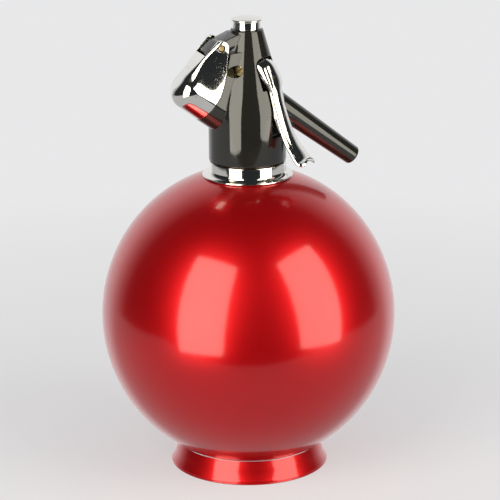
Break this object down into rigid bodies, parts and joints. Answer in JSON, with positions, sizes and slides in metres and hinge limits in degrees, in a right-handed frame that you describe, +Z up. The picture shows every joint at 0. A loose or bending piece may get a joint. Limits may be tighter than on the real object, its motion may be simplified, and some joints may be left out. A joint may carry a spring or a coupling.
{
  "type": "soda siphon",
  "caption": "Globe soda siphon on a flared foot ring, with a screw-on head, a squeeze lever, a down-turned spout and a hinged lid over the gas charge socket.",
  "frame": {"origin": "centre of the foot ring's underside, on the surface that it stands on", "axes": "+Z up the globe's and the head's common axis; the charge pod points to -X and a little to -Y, and the lever to +X and -Y"},
  "size_m": [0.1598, 0.1598, 0.2489],
  "materials": {
    "anodised_red": "candy red anodised metal, glossy",
    "chrome": "polished",
    "gloss_black": "gloss moulded",
    "brass": "turned",
    "aluminium": "drawn",
    "steel": "drawn",
    "rubber": "matte",
    "clear_plastic": "milky"
  },
  "bodies": {
    "vessel": {"globe": "anodised_red", "foot_ring": "anodised_red", "neck_ferrule": "brass", "neck_collar": "chrome"},
    "gasket": {"neck_gasket": "rubber"},
    "head": {"head_housing": "gloss_black", "head_insert": "brass", "top_cap": "chrome", "spout": "gloss_black", "spout_seal": "rubber", "dip_tube": "clear_plastic", "dip_tube_nut": "brass", "riser_pipe": "brass", "valve_body": "brass", "valve_spring": "steel", "spring_retainer": "brass", "charge_sleeve": "aluminium", "charge_seal": "rubber", "piercing_pin": "steel", "lid_pin": "brass", "lever_pin": "brass"},
    "lever": {"trigger_lever": "chrome"},
    "valve": {"valve_stem": "brass", "valve_seal": "rubber"},
    "lid": {"charge_lid": "chrome", "lid_pad": "rubber"}
  },
  "joints": [
    {"name": "head_rise", "type": "slide", "parent": "vessel", "child": "gasket", "axis": [0, 0, 1], "range_m": [0, 0.00401]},
    {"name": "head_turn", "type": "hinge", "parent": "gasket", "child": "head", "pos_m": [0, 0, 0.1684], "axis": [0, 0, 1], "range_deg": [0, 720]},
    {"name": "lever_squeeze", "type": "hinge", "parent": "head", "child": "lever", "pos_m": [0.00262, -0.00184, 0.2227], "axis": [0.5736, 0.8192, 0], "range_deg": [0, 7], "stiffness_Nm_per_rad": 2, "springref_deg": -17.19},
    {"name": "valve_lift", "type": "slide", "parent": "head", "child": "valve", "axis": [0, 0, 1], "range_m": [0, 0.00125], "deforming": ["valve_spring"]},
    {"name": "lid_open", "type": "hinge", "parent": "head", "child": "lid", "pos_m": [-0.01653, -0.00608, 0.23562], "axis": [-0.3453, 0.9385, 0], "range_deg": [0, 100]}
  ],
  "couplings": [
    {"joint": "head_rise", "follows": "head_turn", "m_per_rad": 0.00031831},
    {"joint": "valve_lift", "follows": "lever_squeeze", "m_per_rad": 0.0101}
  ]
}
